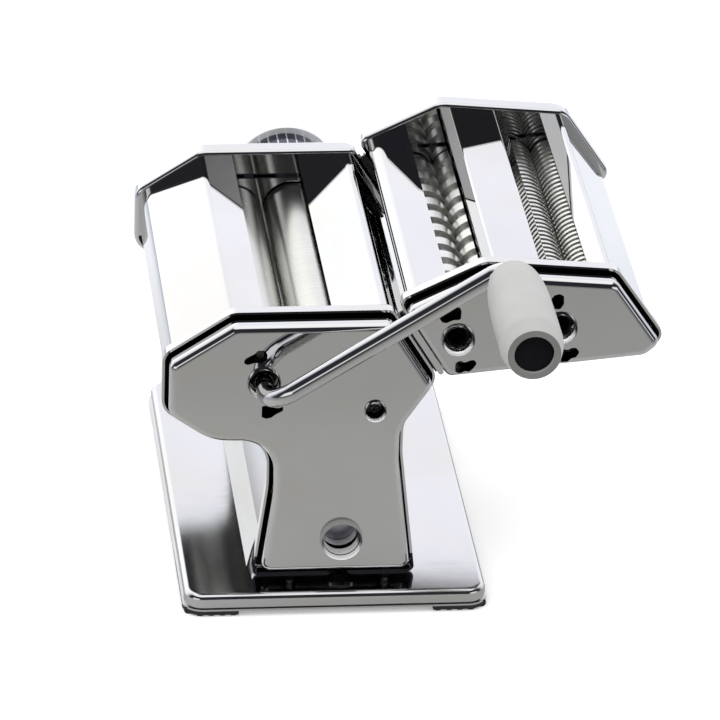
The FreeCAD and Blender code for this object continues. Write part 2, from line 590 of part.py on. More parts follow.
helix = Part.makeHelix(1.0, 3.0, 5.2, 0)
prof = Part.makePolygon([vec(5.2 + 0.46 * math.cos(math.pi * k / 6), 0, 0.46 * math.sin(math.pi * k / 6))
                         for k in list(range(12)) + [0]])
spring = Part.Wire(helix.Edges).makePipeShell([prof], True, True)
spring.rotate(vec(0, 0, 0), vec(1, 0, 0), -90)
spring.translate(vec(KNOB_X, 174.2 + 0.47, ROLLER_Z))
put("knob_spring", spring)
put("spindle_screw", turned(KNOB_X, ROLLER_Z, [(1.85, 182.3), (6.6, 182.3), (6.6, 183.2), (3.6, 183.2), (3.6, 185.2),
                                               (3.0, 185.7), (0, 185.8), (0, 184.6), (1.85, 184.6)]))

# ------------------------------------------------------------------- crank
arm = swept_rod([vec(0, -1.0, SOCKET_Z), vec(0, ELBOW_Y, SOCKET_Z), vec(GRIP_X, GRIP_BEND_Y, GRIP_Z),
                 vec(GRIP_X, -109.0, GRIP_Z)], CRANK_R, [12.5, 8.4])
key = cyl(0, SOCKET_Z, CRANK_R, -6.0, 4.5)
key = key.common(box(-1.4, 1.4, -6, 5, SOCKET_Z - 3.4, SOCKET_Z + 3.4)).fuse(cyl(0, SOCKET_Z, CRANK_R, -3.0, -1.9))
arm = arm.cut(box(-6, 6, -1.9, 3, 90, 115))
arm = arm.fuse(key).removeSplitter()
put("crank_arm", arm)
grip_prof = [(4.1, -49.6), (6.4, -49.4), (8.3, -50.2), (9.5, -51.8), (10.4, -54.4), (11.2, -58.2), (11.8, -62.6),
             (12.25, -67.6), (12.6, -76.0), (12.75, -90.0), (12.8, -108.4), (12.6, -110.0), (10.9, -116.6),
             (10.6, -117.2), (7.95, -117.2), (7.95, -112.6), (4.1, -112.6)]
put("crank_grip", turned(GRIP_X, GRIP_Z, grip_prof))
put("grip_cap", turned(GRIP_X, GRIP_Z, [(0, -116.9), (4.0, -116.75), (7.2, -116.2), (7.9, -115.6), (7.9, -113.4),
                                        (7.0, -113.4), (7.0, -114.6), (0, -115.0)]))
arm2 = parts["crank_arm"][0].fuse(cyl(GRIP_X, GRIP_Z, 4.0, -112.6, -108.0)).fuse(
    turned(GRIP_X, GRIP_Z, [(0, -112.0), (2.0, -112.0), (2.0, -112.7), (6.6, -112.7), (6.6, -113.3), (2.4, -113.3),
                            (2.4, -114.0), (0, -114.2)])).removeSplitter()
put("crank_arm", arm2)

# --------------------------------------------------- rails between the units
rail = fuse([jbox(4, 33, 0.0, 0.6, -4.6, -0.4), jbox(4, 33, 0.6, 2.7, -1.4, -0.4), jbox(4, 33, 2.1, 2.7, -3.4, -1.4),
             jbox(33.0, 34.2, 0.0, 2.9, -4.6, -0.4)])
put("body_rails", rail, rear(rail))
strip = prism([jp(6, 1.0), jp(35.7, 1.0)[:2] + (1.0,), jp(35.7, JOINT_GAP - 0.01)[:2] + (1.0,), jp(6, JOINT_GAP - 0.01)],
              -6.4, -5.4)
hook = fuse([strip, jbox(6, 32.9, 1.0, 1.7, -5.5, -2.0)])
put("cutter_hooks", hook, rear(hook))

# -------------------------------------------------------- cutter unit shell
CUT_RODS = ((108.4, 117.2), (79.0, 108.0), (152.0, 122.0))
cut_frame = dish(CUTTER, 0.0, -FRAME_DEPTH, FRAME_SHEET, FRAME_EDGE)
cut_frame = cut(cut_frame, [cyl(c[0], c[1], 5.55, -2, 1) for c in (C1, C2, C3, C4)] +
                [cyl(p[0], p[1], 2.1 if i == 2 else 1.6, -2, 1) for i, p in enumerate(CUT_RODS)])
put("cutter_front_frame", cut_frame)
put("cutter_rear_frame", rear(cut_frame))
cut_outline = shrink(CUTTER_COVER, COVER_INSET, 3.9)
cut_cover = dish(cut_outline, -COVER_FACE, -COVER_OPEN, COVER_SHEET, COVER_EDGE)
cut_cover = cut_cover.cut(cyl(CUT_RODS[0][0], CUT_RODS[0][1], 2.1, -20, -10))
tri = [(71.4, 132.2, 0.3), (78.5, 136.9, 0.8), (79.6, 136.8, 0.7), (80.3, 134.9, 1.2), (80.1, 131.2, 1.0),
       (77.1, 131.1, 1.5), (74.2, 129.8, 0.9), (72.6, 130.2, 0.6), (71.5, 131.6, 0.2)]
key_l = [(78.6, 111.4, 1.0), (80.6, 112.5, 1.5), (82.5, 111.6, 1.2), (84.3, 112.3, 1.5), (86.3, 112.9, 1.4),
         (87.6, 111.0, 1.3), (86.3, 109.0, 1.2), (84.6, 107.2, 0.8), (83.0, 107.6, 0.8), (80.6, 106.4, 1.2),
         (78.7, 107.4, 0.9)]
tri_r = [(116.6, 139.4, 0.5), (118.4, 141.6, 0.9), (120.5, 142.2, 1.2), (122.3, 141.1, 0.8), (122.5, 137.6, 1.4),
         (121.0, 135.1, 1.4), (118.1, 135.4, 1.0)]
key_r = [(120.9, 115.8, 1.0), (122.6, 117.0, 1.4), (125.0, 116.4, 1.4), (126.5, 117.3, 1.4), (128.4, 117.4, 1.2),
         (130.0, 115.4, 1.3), (128.6, 113.0, 1.3), (126.6, 112.5, 1.0), (125.2, 110.8, 0.9), (122.9, 110.7, 1.0),
         (120.9, 111.8, 0.9)]
cut_front = cut(cut_cover, [cyl(C1[0], C1[1], 6.6, -20, -10), cyl(C3[0], C3[1], 6.6, -20, -10),
                            prism(tri, -20, -10), prism(key_l, -20, -10), prism(tri_r, -20, -10),
                            prism(key_r, -20, -10)])
cut_front = cut_front.fuse(socket_collar(C1)).fuse(socket_collar(C3)).removeSplitter()
put("cutter_front_cover", cut_front)
put("cutter_rear_cover", rear(cut_cover))
cut_rods = []
for i, p in enumerate(CUT_RODS):
    ends, r_end = ((14.3, 1.5), (5.0, 1.5), (5.0, 2.0))[i]
    cut_rods.append(fuse([cyl(p[0], p[1], 3.0, 0, SHEET_WIDTH), cyl(p[0], p[1], r_end, -ends, SHEET_WIDTH + ends)]))
put("cutter_tie_rods", *cut_rods)
cnuts = []
for i, p in enumerate(CUT_RODS):
    n = hexa(p[0], p[1], 6.5 if i == 2 else 5.5, -4.0, -1.0).cut(
        cyl(p[0], p[1], 2.05 if i == 2 else 1.55, -6, 0))
    cnuts += [n, rear(n)]
cscrew = turned(CUT_RODS[0][0], CUT_RODS[0][1], [(0, -15.5), (3.6, -15.5), (3.6, -16.6), (2.8, -17.4), (0, -17.7)])
cscrew = cscrew.cut(box(CUT_RODS[0][0] - 0.45, CUT_RODS[0][0] + 0.45, -20, -16.4, CUT_RODS[0][1] - 1.9, CUT_RODS[0][1] + 1.9))
cscrew = cscrew.cut(box(CUT_RODS[0][0] - 1.9, CUT_RODS[0][0] + 1.9, -20, -16.4, CUT_RODS[0][1] - 0.45, CUT_RODS[0][1] + 0.45))
cscrew = cscrew.fuse(cyl(CUT_RODS[0][0], CUT_RODS[0][1], 1.2, -15.6, -14.3)).removeSplitter()
put("cutter_cover_screws", cscrew, rear(cscrew))
put("cutter_nuts", *cnuts)

hood_l = sheet([jp(31.0, 0.7), jp(31.0, 4.0)[:2] + (1.2,), (58.0, 133.6, 4.0), (64.4, 136.0, 6.0), (78.3, 133.5, 0)],
               0.8, -1, 0, SHEET_WIDTH)
hood_c = sheet([(93.4, 134.4, 0), (97.6, 141.2, 1.6), (115.9, 142.4, 1.6), (120.9, 137.4, 0)], 0.8, -1, 0, SHEET_WIDTH)
hood_r = sheet([(136.9, 138.9, 0), (143.3, 145.4, 2.0), (163.8, 117.2, 4), (158.4, 112.6, 0)], 0.8, -1, 0, SHEET_WIDTH)
put("cutter_left_hood", hood_l)
put("cutter_center_hood", hood_c)
put("cutter_right_hood", hood_r)


def cut_guard(a, b, top0, top1):
    x0, x1 = a[0] + 2.0, b[0] - 2.0
    g = prism([(x0, a[1] + 2, 0), (x1, b[1] + 2, 0), (x1, top1, 0), (x0, top0, 0)], 1.4, 2.4)
    g = g.cut(cyl(a[0], a[1], CUT_R + 0.4, 0, 5)).cut(cyl(b[0], b[1], CUT_R + 0.4, 0, 5))
    g = sorted(g.Solids, key=lambda s: s.BoundBox.ZMax)[-1]
    xm = (a[0] + b[0]) / 2
    tm = (top0 + top1) / 2
    return fuse([g, box(xm - 2, xm + 2, 0, 1.5, tm - 1.6, tm - 0.4)])


g1, g2 = cut_guard(C1, C2, 133.0, 133.9), cut_guard(C3, C4, 136.8, 138.1)
put("cutter_end_guards", g1, rear(g1), g2, rear(g2))

# ----------------------------------------------------------- cutter rollers
def ring_roller(c, first, ring, period, socket):
    prof = [(CUT_GROOVE_R, 1.5)]
    y = first
    while y + ring < 148.4:
        if y > 1.6:
            prof += [(CUT_GROOVE_R, y), (CUT_R, y), (CUT_R, y + ring), (CUT_GROOVE_R, y + ring)]
        y += period
    prof += [(CUT_GROOVE_R, 148.5), (5.0, 148.5), (5.0, 152.8), (0, 152.8)]
    if socket:
        prof += [(0, 4.0), (4.1, 4.0), (4.1, -12.0), (5.0, -12.0), (5.0, 1.5)]
    else:
        prof += [(0, -12.0), (5.0, -12.0), (5.0, 1.5)]
    r = turned(c[0], c[1], prof)
    if socket:
        plug = cyl(c[0], c[1], 4.2, -3.5, 4.1).cut(box(c[0] - 1.5, c[0] + 1.5, -5, 3.0, c[1] - 3.6, c[1] + 3.6))
        r = r.fuse(plug).removeSplitter()
    return r


put("wide_cutter_a", ring_roller(C1, 4.0, WIDE_RING, WIDE_PERIOD, True))
put("wide_cutter_b", ring_roller(C2, 10.5, WIDE_RING, WIDE_PERIOD, False))
put("fine_cutter_a", ring_roller(C3, 2.2, FINE_RING, FINE_PERIOD, True))
put("fine_cutter_b", ring_roller(C4, 4.2, FINE_RING, FINE_PERIOD, False))
bushes = []
for c in (C1, C2, C3, C4):
    b = turned(c[0], c[1], [(5.06, 0.9), (5.5, 0.9), (5.5, -1.2), (5.06, -1.2)])
    e = turned(c[0], c[1], [(5.06, 0.9), (5.5, 0.9), (5.5, -1.0), (7.2, -1.0), (7.2, -3.2), (5.06, -3.2)])
    bushes += [b, rear(e)]
put("cutter_bushes", *bushes)
half = math.pi / CUT_TEETH
put("wide_gear_a", gear(C1, CUT_MODULE, CUT_TEETH, 5.04, CUT_GEAR_Y0, CUT_GEAR_Y1, CUT_TILT, 0.44))
put("wide_gear_b", gear(C2, CUT_MODULE, CUT_TEETH, 5.04, CUT_GEAR_Y0, CUT_GEAR_Y1, CUT_TILT + math.pi + half, 0.44))
put("fine_gear_a", gear(C3, CUT_MODULE, CUT_TEETH, 5.04, CUT_GEAR_Y0, CUT_GEAR_Y1, CUT_TILT, 0.44))
put("fine_gear_b", gear(C4, CUT_MODULE, CUT_TEETH, 5.04, CUT_GEAR_Y0, CUT_GEAR_Y1, CUT_TILT + math.pi + half, 0.44))


# ------------------------------------------------------------------- combs
def comb(c, deg, first, ring, period, finger):
    """Flat stripping comb under a ring roller: fingers stand in its grooves."""
    ux, uz = math.cos(math.radians(deg)), math.sin(math.radians(deg))
    tip, root, back = CUT_GROOVE_R + 0.35, CUT_R + 0.6, CUT_R + 5.0
    pts = [(back, 0.0), (root, 0.0)]
    y = first
    while y < 149.0:
        a, b = y - (period - ring) / 2 - finger / 2, y - (period - ring) / 2 + finger / 2
        if a > 1.8 and b < 148.2:
            pts += [(root, a), (tip, a), (tip, b), (root, b)]
        y += period
    pts += [(root, SHEET_WIDTH), (back, SHEET_WIDTH)]
    wire = Part.makePolygon([vec(c[0] + ux * r, y, c[1] + uz * r) for r, y in pts + pts[:1]])
    t = 0.7
    return Part.Face(wire).extrude(vec(-uz * t, 0, ux * t))


put("cutter_combs", comb(C1, -72, 4.0, WIDE_RING, WIDE_PERIOD, 5.4),
    comb(C2, -100, 10.5, WIDE_RING, WIDE_PERIOD, 5.4),
    comb(C3, -72, 2.2, FINE_RING, FINE_PERIOD, 1.3),
    comb(C4, -100, 4.2, FINE_RING, FINE_PERIOD, 1.3))

# ------------------------------------------------------------------- export
os.makedirs("parts", exist_ok=True)
shift = vec(-ORIGIN[0], -ORIGIN[1], -ORIGIN[2])
for name, shapes in parts.items():
    solids = []
    for s in shapes:
        solids += s.Solids
    moved = []
    for s in solids:
        s = s.copy()
        s.translate(shift)
        moved.append(s)
    if len(moved) == 1:
        out = moved[0]
    else:
        out = Part.makeCompound(moved)
    bad = [i for i, s in enumerate(moved) if not s.isValid()]
    print(name, len(moved), "solids", "INVALID %s" % bad if bad else "",
          "vol %.0f" % sum(s.Volume for s in moved))
    out.exportStep(os.path.join("parts", name + ".step"))
print(len(parts), "nodes")
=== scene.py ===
import json
import math

import bmesh
import bpy
from mathutils import Matrix, Vector


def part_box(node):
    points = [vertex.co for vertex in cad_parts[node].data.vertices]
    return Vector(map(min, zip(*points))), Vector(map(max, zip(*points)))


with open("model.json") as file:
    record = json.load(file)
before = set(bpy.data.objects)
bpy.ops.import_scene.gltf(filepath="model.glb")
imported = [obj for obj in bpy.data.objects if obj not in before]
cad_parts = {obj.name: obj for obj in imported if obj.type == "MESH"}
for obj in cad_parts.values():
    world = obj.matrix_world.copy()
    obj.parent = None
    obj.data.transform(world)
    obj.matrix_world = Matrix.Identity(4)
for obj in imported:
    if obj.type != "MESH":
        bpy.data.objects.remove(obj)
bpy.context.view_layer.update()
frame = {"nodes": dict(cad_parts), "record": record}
NODES = frame["nodes"]

# Layout axes of the pieces (millimetres): X right from the crank roller axis,
# Y back from the inner face of the front wall, Z up from the table.
ORG = (62.219, 35.9, 0.0)


def P(x, y, z):
    return Vector(((x - ORG[0]) / 1000, (y - ORG[1]) / 1000, (z - ORG[2]) / 1000))


# ------------------------------------------------------------------ camera
F_PX, YAW, PITCH, ROLL = 5982.1, math.radians(6.964), math.radians(26.762), math.radians(2.012)
fwd = Vector((math.sin(YAW) * math.cos(PITCH), math.cos(YAW) * math.cos(PITCH), -math.sin(PITCH)))
right = Vector((math.cos(YAW), -math.sin(YAW), 0))
up = right.cross(fwd)
r2 = right * math.cos(ROLL) + up * math.sin(ROLL)
u2 = -right * math.sin(ROLL) + up * math.cos(ROLL)
cam_data = bpy.data.cameras.new("photo_camera")
cam_data.sensor_width = 36.0
cam_data.lens = F_PX / 720.0 * 36.0
cam_data.clip_start, cam_data.clip_end = 0.05, 50
cam = bpy.data.objects.new("photo_camera", cam_data)
bpy.context.scene.collection.objects.link(cam)
cam.matrix_world = Matrix.Translation(P(-226.135, -2187.458, 1217.183)) @ Matrix((
    (r2.x, u2.x, -fwd.x), (r2.y, u2.y, -fwd.y), (r2.z, u2.z, -fwd.z))).to_4x4()
bpy.context.scene.camera = cam


# ------------------------------------------------------------ node helpers
class Nodes:
    def __init__(self, tree):
        self.t = tree

    def add(self, kind, **kw):
        n = self.t.nodes.new(kind)
        for k, v in kw.items():
            if k.startswith("in_"):
                n.inputs[k[3:].replace("_", " ")].default_value = v
            else:
                setattr(n, k, v)
        return n

    def link(self, a, b):
        self.t.links.new(a, b)

    def coords(self, scale=(1, 1, 1), rot=(0, 0, 0), kind="Object"):
        tc = self.add("ShaderNodeTexCoord")
        m = self.add("ShaderNodeMapping")
        m.inputs["Scale"].default_value = scale
        m.inputs["Rotation"].default_value = rot
        self.link(tc.outputs[kind], m.inputs["Vector"])
        return m.outputs["Vector"]

    def noise(self, vec, scale, detail=3.0, rough=0.5, dist=0.0):
        n = self.add("ShaderNodeTexNoise")
        n.inputs["Scale"].default_value = scale
        n.inputs["Detail"].default_value = detail
        n.inputs["Roughness"].default_value = rough
        n.inputs["Distortion"].default_value = dist
        self.link(vec, n.inputs["Vector"])
        return n.outputs["Fac"]

    def ramp(self, fac, stops):
        r = self.add("ShaderNodeValToRGB")
        el = r.color_ramp.elements
        while len(el) < len(stops):
            el.new(0.5)
        for e, (p, c) in zip(el, stops):
            e.position = p
            e.color = tuple(c) + ((1.0,) if len(c) == 3 else ())
        self.link(fac, r.inputs["Fac"])
        return r.outputs["Color"]

    def remap(self, fac, a, b, c, d):
        m = self.add("ShaderNodeMapRange")
        for k, v in (("From Min", a), ("From Max", b), ("To Min", c), ("To Max", d)):
            m.inputs[k].default_value = v
        self.link(fac, m.inputs["Value"])
        return m.outputs["Result"]

    def math(self, op, a, b=None, c=None):
        m = self.add("ShaderNodeMath", operation=op)
        for i, v in enumerate((a, b, c)):
            if v is None:
                continue
            if isinstance(v, (int, float)):
                m.inputs[i].default_value = v
            else:
                self.link(v, m.inputs[i])
        return m.outputs[0]

    def mix(self, fac, a, b):
        m = self.add("ShaderNodeMix", data_type="RGBA")
        for s, v in ((0, fac), (6, a), (7, b)):
            if isinstance(v, (int, float)):
                m.inputs[s].default_value = v
            elif isinstance(v, (tuple, list)):
                m.inputs[s].default_value = tuple(v) + ((1.0,) if len(v) == 3 else ())
            else:
                self.link(v, m.inputs[s])
        return m.outputs[2]

    def bump(self, height, strength, distance, normal=None):
        b = self.add("ShaderNodeBump")
        b.inputs["Strength"].default_value = strength
        b.inputs["Distance"].default_value = distance
        self.link(height, b.inputs["Height"])
        if normal is not None:
            self.link(normal, b.inputs["Normal"])
        return b.outputs["Normal"]


def material(name):
    m = bpy.data.materials.new(name)
    m.use_nodes = True
    t = m.node_tree
    t.nodes.clear()
    n = Nodes(t)
    out = n.add("ShaderNodeOutputMaterial")
    bsdf = n.add("ShaderNodeBsdfPrincipled")
    n.link(bsdf.outputs[0], out.inputs["Surface"])
    return m, n, bsdf


def set_in(bsdf, **kw):
    for k, v in kw.items():
        bsdf.inputs[k.replace("_", " ")].default_value = v


def chrome(name, base, smudge=0.05, wave=0.00006, wave_scale=22, rough=0.02, scratch=0.0):
    """Plated sheet: mirror with faint smears, tiny waviness and fine wiping lines."""
    m, n, b = material(name)
    set_in(b, Metallic=1.0)
    vec = n.coords()
    big = n.noise(vec, 9, 4, 0.6, 0.4)
    wipe = n.noise(n.coords(scale=(14, 160, 14), rot=(0.2, 0.1, 0.5)), 3, 3, 0.5)
    lo = tuple(c * 0.93 for c in base)
    tone = n.mix(n.remap(big, 0.35, 0.7, 0, 1), base, lo)
    warm = tuple(c * k for c, k in zip(base, (0.97, 0.93, 0.87)))
    stain = n.remap(n.noise(n.coords(scale=(1, 1, 2.2)), 16, 5, 0.62, 0.6), 0.48, 0.74, 0, 0.85)
    n.link(n.mix(stain, tone, warm), b.inputs["Base Color"])
    smear = n.math("MULTIPLY", n.remap(big, 0.5, 0.78, 0, 1), n.remap(wipe, 0.4, 0.75, 0.2, 1))
    n.link(n.math("MULTIPLY_ADD", smear, smudge, rough), b.inputs["Roughness"])
    h = n.noise(vec, wave_scale, 2, 0.45, 0.0)
    nrm = n.bump(h, 1.0, wave)
    if scratch:
        nrm = n.bump(n.noise(n.coords(scale=(60, 900, 60), rot=(0.1, 0.3, 0.8)), 2, 2, 0.6), 1.0, scratch, nrm)
    n.link(nrm, b.inputs["Normal"])
    return m


MAT = {}
MAT["chrome_sheet"] = chrome("chrome_sheet", (0.62, 0.625, 0.63), smudge=0.10, wave=0.00005, rough=0.018)
MAT["chrome_trim"] = chrome("chrome_trim", (0.64, 0.645, 0.655), smudge=0.05, wave=0.00001, wave_scale=60, rough=0.025)
MAT["tray_chrome"] = chrome("tray_chrome", (0.62, 0.625, 0.63), smudge=0.12, wave=0.00045, wave_scale=7, rough=0.11)
MAT["satin_disc"] = chrome("satin_disc", (0.50, 0.50, 0.57), smudge=0.10, wave=0.00001, wave_scale=60, rough=0.36)
MAT["chrome_rod"] = chrome("chrome_rod", (0.60, 0.605, 0.61), smudge=0.05, wave=0.00001, wave_scale=50, rough=0.05)


def turned_metal(name, base, dark, rough, line_scale=900, depth=0.000003, aniso=0.4):
    """Metal ground or turned around an axis along Y: fine rings, mottled sheen."""
    m, n, b = material(name)
    set_in(b, Metallic=1.0, Anisotropic=aniso)
    rings = n.noise(n.coords(scale=(0.6, line_scale, 0.6)), 1.0, 4, 0.65)
    blotch = n.noise(n.coords(), 30, 4, 0.55, 0.3)
    tone = n.math("MULTIPLY_ADD", rings, 0.5, n.math("MULTIPLY", blotch, 0.5))
    n.link(n.ramp(tone, [(0.3, dark), (0.62, base)]), b.inputs["Base Color"])
    n.link(n.math("MULTIPLY_ADD", blotch, 0.12, rough - 0.06), b.inputs["Roughness"])
    n.link(n.bump(rings, 1.0, depth), b.inputs["Normal"])
    return m


MAT["satin_roller"] = turned_metal("satin_roller", (0.64, 0.64, 0.60), (0.52, 0.52, 0.49), 0.26)
MAT["cutter_steel"] = turned_metal("cutter_steel", (0.72, 0.72, 0.69), (0.58, 0.58, 0.55), 0.29, 1400)
MAT["gear_steel"] = turned_metal("gear_steel", (0.10, 0.10, 0.098), (0.055, 0.054, 0.052), 0.38, 500)
MAT["bright_steel"] = turned_metal("bright_steel", (0.55, 0.55, 0.55), (0.42, 0.42, 0.41), 0.22, 300)
MAT["spring_steel"] = turned_metal("spring_steel", (0.42, 0.42, 0.43), (0.30, 0.30, 0.31), 0.30, 300)
MAT["sintered_bronze"] = turned_metal("sintered_bronze", (0.45, 0.33, 0.17), (0.30, 0.21, 0.11), 0.42, 300)


def zinc():
    m, n, b = material("zinc_fasteners")
    set_in(b, Metallic=1.0)
    v = n.add("ShaderNodeTexVoronoi")
    v.inputs["Scale"].default_value = 700
    n.link(n.coords(), v.inputs["Vector"])
    spot = n.noise(n.coords(), 260, 4, 0.6)
    n.link(n.ramp(spot, [(0.35, (0.46, 0.46, 0.47)), (0.65, (0.62, 0.62, 0.60))]), b.inputs["Base Color"])
    n.link(n.remap(v.outputs["Distance"], 0, 1, 0.22, 0.4), b.inputs["Roughness"])
    n.link(n.bump(spot, 0.6, 0.00003), b.inputs["Normal"])
    return m


MAT["zinc_fasteners"] = zinc()


def black_oxide():
    m, n, b = material("dark_screw")
    set_in(b, Metallic=0.8)
    spot = n.noise(n.coords(), 420, 5, 0.6)
    geo = n.add("ShaderNodeNewGeometry")
    edge = n.remap(geo.outputs["Pointiness"], 0.52, 0.58, 0, 1)
    worn = n.math("MULTIPLY", edge, n.remap(spot, 0.35, 0.6, 0, 1))
    n.link(n.mix(worn, (0.035, 0.035, 0.038), (0.28, 0.28, 0.28)), b.inputs["Base Color"])
    n.link(n.remap(spot, 0.3, 0.7, 0.24, 0.45), b.inputs["Roughness"])
    n.link(n.bump(spot, 0.5, 0.00003), b.inputs["Normal"])
    return m


MAT["dark_screw"] = black_oxide()


def plastic(name, lo, hi, rough, grain_scale, grain_depth, sss=0.0, coat=0.0, spec=0.5):
    m, n, b = material(name)
    set_in(b, Metallic=0.0, Specular_IOR_Level=spec)
    if sss:
        set_in(b, Subsurface_Weight=sss, Subsurface_Scale=0.004, Subsurface_Radius=(1.0, 0.9, 0.8))
    if coat:
        set_in(b, Coat_Weight=coat, Coat_Roughness=0.05)
    tone = n.noise(n.coords(), 45, 5, 0.6, 0.2)
    n.link(n.ramp(tone, [(0.3, lo), (0.7, hi)]), b.inputs["Base Color"])
    grain = n.noise(n.coords(), grain_scale, 3, 0.6)
    n.link(n.remap(n.noise(n.coords(), 90, 3, 0.5), 0.3, 0.7, rough - 0.05, rough + 0.06), b.inputs["Roughness"])
    n.link(n.bump(grain, 0.7, grain_depth), b.inputs["Normal"])
    return m


MAT["grip_plastic"] = plastic("grip_plastic", (0.36, 0.36, 0.345), (0.41, 0.41, 0.395), 0.42, 1700, 0.000018, sss=0.05)
# darker copy of the grip plastic: painted shade for the grip's front end face
MAT["grip_end_painted_shade"] = plastic("grip_end_painted_shade", (0.125, 0.125, 0.12), (0.15, 0.15, 0.145), 0.40, 1700, 0.000018)
MAT["cap_plastic"] = plastic("cap_plastic", (0.002, 0.002, 0.003), (0.006, 0.006, 0.007), 0.28, 900, 0.000003, spec=0.05)
MAT["white_nylon"] = plastic("white_nylon", (0.74, 0.73, 0.69), (0.82, 0.81, 0.78), 0.5, 900, 0.00002, sss=0.1)
MAT["foot_rubber"] = plastic("foot_rubber", (0.011, 0.011, 0.012), (0.022, 0.022, 0.023), 0.68, 1300, 0.00004, spec=0.3)


def painted_shade_inside():
    """Painted shade: near-black steel for the inside faces of the closed housings, bores and pockets, where shade
    falls.
    """
    m, n, b = material("painted_shade_inside")
    set_in(b, Metallic=0.6, Specular_IOR_Level=0.2)
    v = n.noise(n.coords(), 120, 4, 0.6, 0.3)
    n.link(n.ramp(v, [(0.3, (0.004, 0.004, 0.004)), (0.75, (0.016, 0.015, 0.014))]), b.inputs["Base Color"])
    n.link(n.remap(v, 0.3, 0.7, 0.35, 0.6), b.inputs["Roughness"])
    n.link(n.bump(v, 0.5, 0.00003), b.inputs["Normal"])
    return m


MAT["painted_shade_inside"] = painted_shade_inside()


def rail_dark():
    """Smooth near-black steel strip, its dark tone painted shade so the gap between the frames reads black, with a few
    rubbed streaks along it.
    """
    m, n, b = material("rail_dark")
    set_in(b, Metallic=0.9)
    v = n.noise(n.coords(scale=(1, 0.15, 1)), 90, 3, 0.5, 0.2)
    n.link(n.ramp(v, [(0.35, (0.020, 0.020, 0.023)), (0.8, (0.075, 0.075, 0.080))]), b.inputs["Base Color"])
    n.link(n.remap(v, 0.3, 0.7, 0.18, 0.32), b.inputs["Roughness"])
    n.link(n.bump(n.noise(n.coords(scale=(4, 1, 4)), 60, 2, 0.5), 0.5, 0.000006), b.inputs["Normal"])
    return m


MAT["rail_dark"] = rail_dark()


def lip_painted_light(name, dark, pale, lo=0.05, hi=0.45, noise_scale=80):
    """Rolled bright lip with painted light: faces that look up get a pale, mostly diffuse painted highlight, faces that
    look down a dark, mirror-like painted shade.
    """
    m, n, b = material(name)
    geo = n.add("ShaderNodeNewGeometry")
    sp = n.add("ShaderNodeSeparateXYZ")
    n.link(geo.outputs["Normal"], sp.inputs[0])
    v = n.noise(n.coords(), noise_scale, 3, 0.5, 0.2)
    fac = n.remap(n.math("MULTIPLY_ADD", v, 0.12, n.math("SUBTRACT", sp.outputs["Z"], 0.06)), lo, hi, 0, 1)
    n.link(n.mix(fac, dark, pale), b.inputs["Base Color"])
    n.link(n.remap(fac, 0, 1, 0.95, 0.15), b.inputs["Metallic"])
    n.link(n.remap(v, 0.3, 0.7, 0.20, 0.30), b.inputs["Roughness"])
    n.link(n.bump(v, 0.5, 0.00001), b.inputs["Normal"])
    return m


MAT["lip_painted_light"] = lip_painted_light("lip_painted_light", (0.10, 0.10, 0.11), (0.98, 0.98, 0.98))
MAT["lip_outer_painted_shade"] = plastic("lip_outer_painted_shade", (0.245, 0.245, 0.235), (0.275, 0.275, 0.265), 0.35, 900, 0.000002, spec=0.2)
# near-white knob ring with the lip material's painted light: up-facing faces diffuse white, down-facing ones more
# mirror-like
MAT["knob_ring"] = lip_painted_light("knob_ring", (0.90, 0.90, 0.90), (0.96, 0.96, 0.96), -0.5, 0.5)


def knob_drum():
    """Dark blued drum with a light tick every twelve degrees."""
    m, n, b = material("knob_drum")
    set_in(b, Metallic=0.9)
    tone = n.noise(n.coords(scale=(1, 6, 1)), 30, 4, 0.6)
    body = n.ramp(tone, [(0.3, (0.030, 0.034, 0.055)), (0.7, (0.055, 0.060, 0.090))])
    tc = n.add("ShaderNodeTexCoord")
    off = n.add("ShaderNodeVectorMath", operation="SUBTRACT")
    off.inputs[1].default_value = P(27.5, 35.9, 104)
    n.link(tc.outputs["Object"], off.inputs[0])
    sp = n.add("ShaderNodeSeparateXYZ")
    n.link(off.outputs[0], sp.inputs[0])
    ang = n.math("MULTIPLY", n.math("ARCTAN2", sp.outputs["X"], sp.outputs["Z"]), 180 / math.pi / 12)
    tick = n.math("LESS_THAN", n.math("ABSOLUTE", n.math("SUBTRACT", n.math("FRACT", n.math("ADD", ang, 0.5)), 0.5)), 0.07)
    span = n.math("LESS_THAN", n.math("ABSOLUTE", ang), 4.3)
    far = n.math("GREATER_THAN", n.math("SQRT", n.math("ADD", n.math("MULTIPLY", sp.outputs["X"], sp.outputs["X"]),
                                                     n.math("MULTIPLY", sp.outputs["Z"], sp.outputs["Z"]))), 0.0193)
    fac = n.math("MULTIPLY", n.math("MULTIPLY", tick, span), far)
    n.link(n.mix(fac, body, (0.62, 0.64, 0.68)), b.inputs["Base Color"])
    n.link(n.remap(tone, 0.3, 0.7, 0.10, 0.2), b.inputs["Roughness"])
    n.link(n.bump(n.noise(n.coords(scale=(1, 40, 1)), 60, 3, 0.5), 0.5, 0.00001), b.inputs["Normal"])
    return m


MAT["knob_drum"] = knob_drum()


